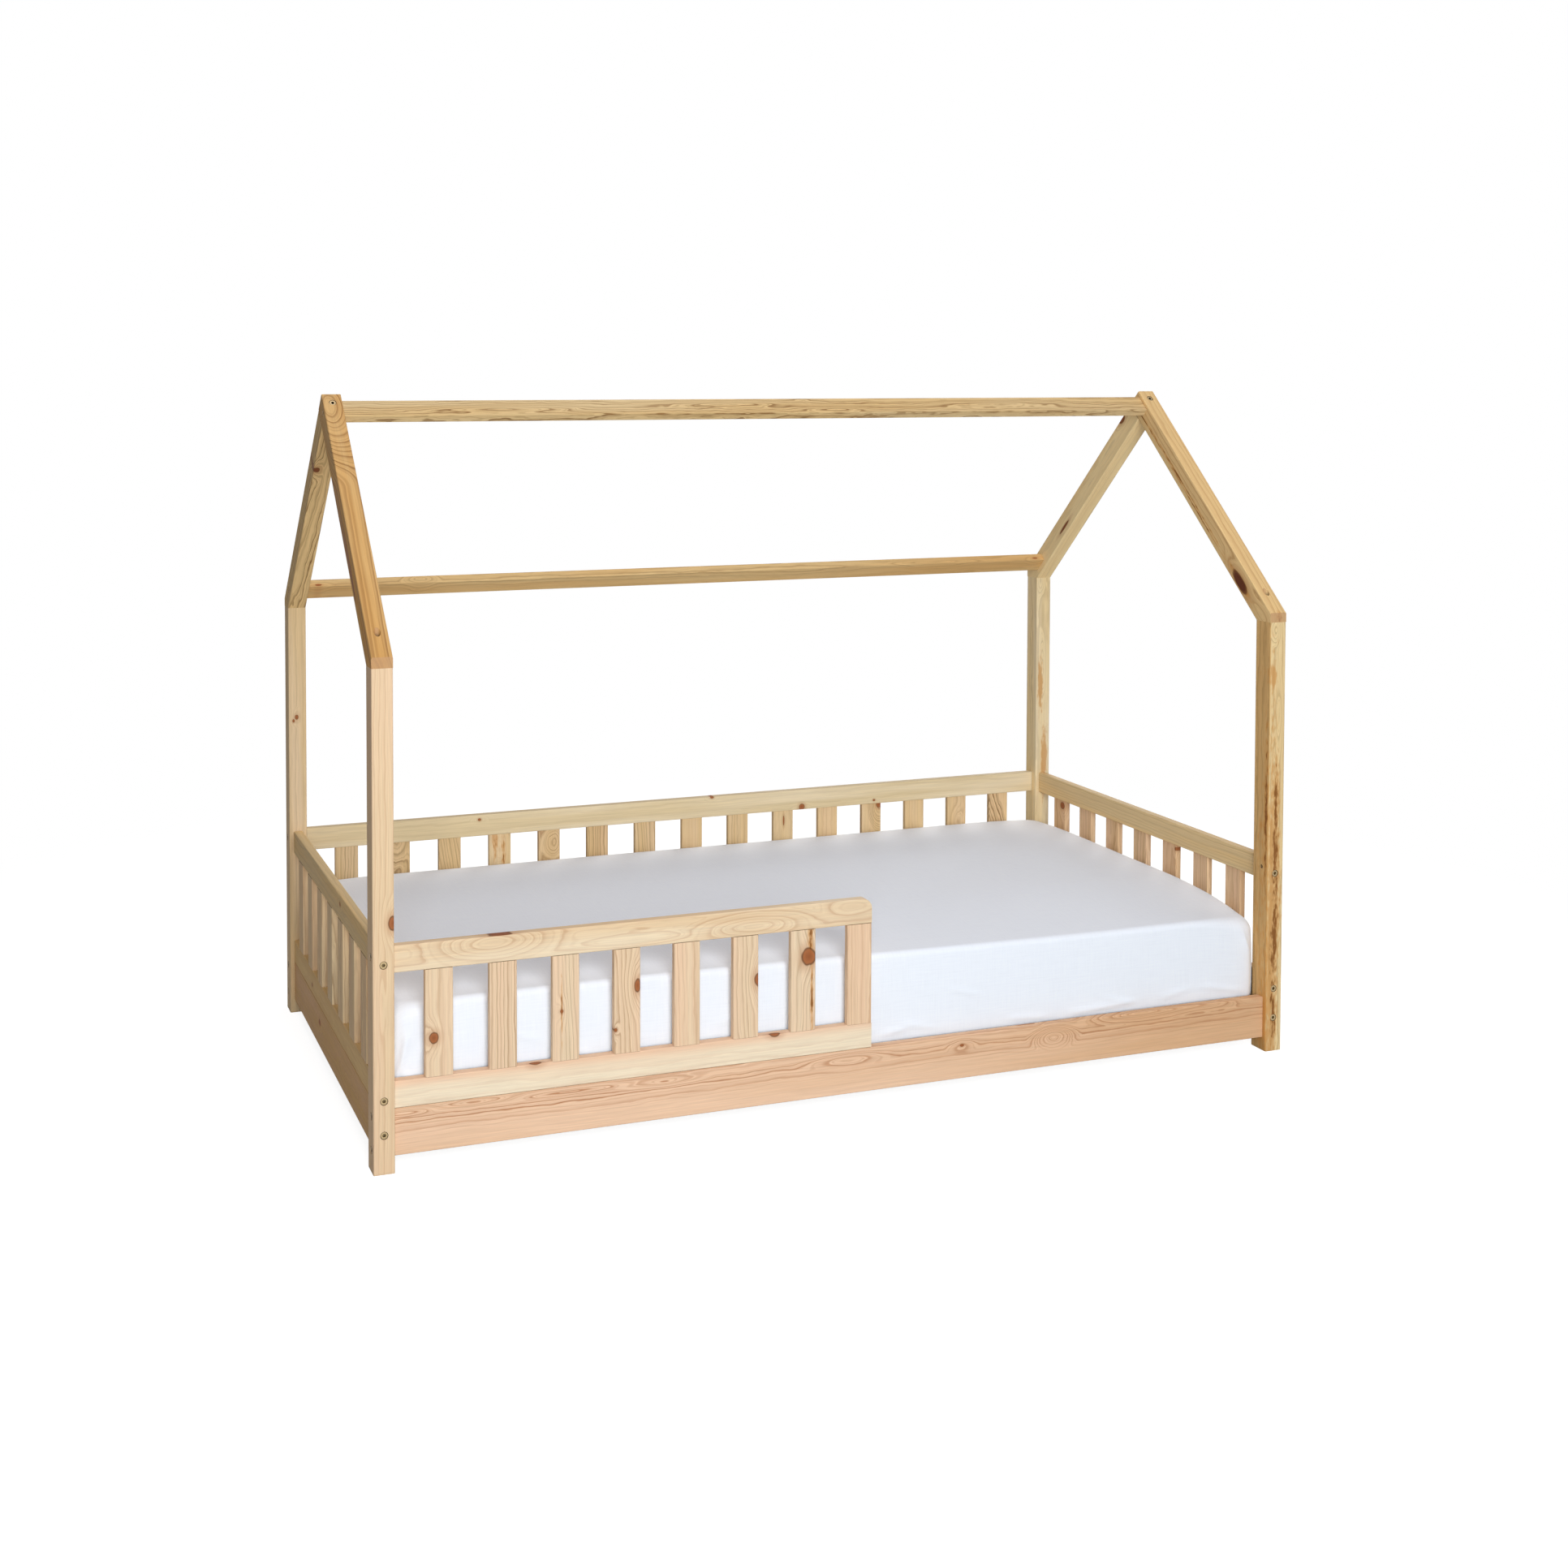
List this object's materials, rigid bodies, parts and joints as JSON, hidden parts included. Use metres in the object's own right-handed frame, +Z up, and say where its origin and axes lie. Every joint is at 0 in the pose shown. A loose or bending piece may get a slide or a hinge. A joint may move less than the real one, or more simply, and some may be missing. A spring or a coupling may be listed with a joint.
{
  "type": "house-frame floor bed",
  "caption": "Low pine child's bed in a house-shaped frame, with slatted guards, a half guard in front, gable rafters, ridge and back eave beams, and a sheeted mattress.",
  "frame": {"origin": "on the floor, under the middle of the bed", "axes": "+X along the bed to the right as seen from the open front, +Y to the back, +Z up"},
  "size_m": [1.98, 0.98, 1.4148],
  "materials": {
    "pine": "planed, matt, untreated",
    "beech": "turned, untreated",
    "zinc_steel": "yellow zinc plated",
    "brass_insert": "plain turned",
    "mattress_ticking": "woven ticking",
    "cotton_sheet": "plain white weave"
  },
  "bodies": {
    "bed_frame": {"back_guard_bottom_rail": "pine", "back_guard_slats": "pine", "back_guard_top_rail": "pine", "base_slat_screws": "zinc_steel", "base_slats": "pine", "beam_bolts": "zinc_steel", "beam_dowels": "beech", "beam_inserts": "brass_insert", "bed_rail_back": "pine", "bed_rail_front": "pine", "bed_rail_left": "pine", "bed_rail_right": "pine", "eave_beam": "pine", "end_rail_bolts": "zinc_steel", "end_rail_inserts": "brass_insert", "front_guard_bottom_rail": "pine", "front_guard_slats": "pine", "front_guard_top_rail": "pine", "gable_bolts": "zinc_steel", "gable_inserts": "brass_insert", "guard_dowels": "beech", "ledger_back": "pine", "ledger_front": "pine", "ledger_screws": "zinc_steel", "left_guard_bottom_rail": "pine", "left_guard_slats": "pine", "left_guard_top_rail": "pine", "long_rail_bolts": "zinc_steel", "long_rail_inserts": "brass_insert", "post_back_left": "pine", "post_back_right": "pine", "post_front_left": "pine", "post_front_right": "pine", "rafter_back_left": "pine", "rafter_back_right": "pine", "rafter_foot_dowels": "beech", "rafter_foot_screws": "zinc_steel", "rafter_front_left": "pine", "rafter_front_right": "pine", "ridge_beam": "pine", "right_guard_bottom_rail": "pine", "right_guard_slats": "pine", "right_guard_top_rail": "pine"},
    "bedding": {"mattress": "mattress_ticking", "fitted_sheet": "cotton_sheet"}
  },
  "joints": [
    {"name": "mattress_lift", "type": "slide", "parent": "bed_frame", "child": "bedding", "axis": [0, 0, 1], "range_m": [0, 0.33]}
  ]
}
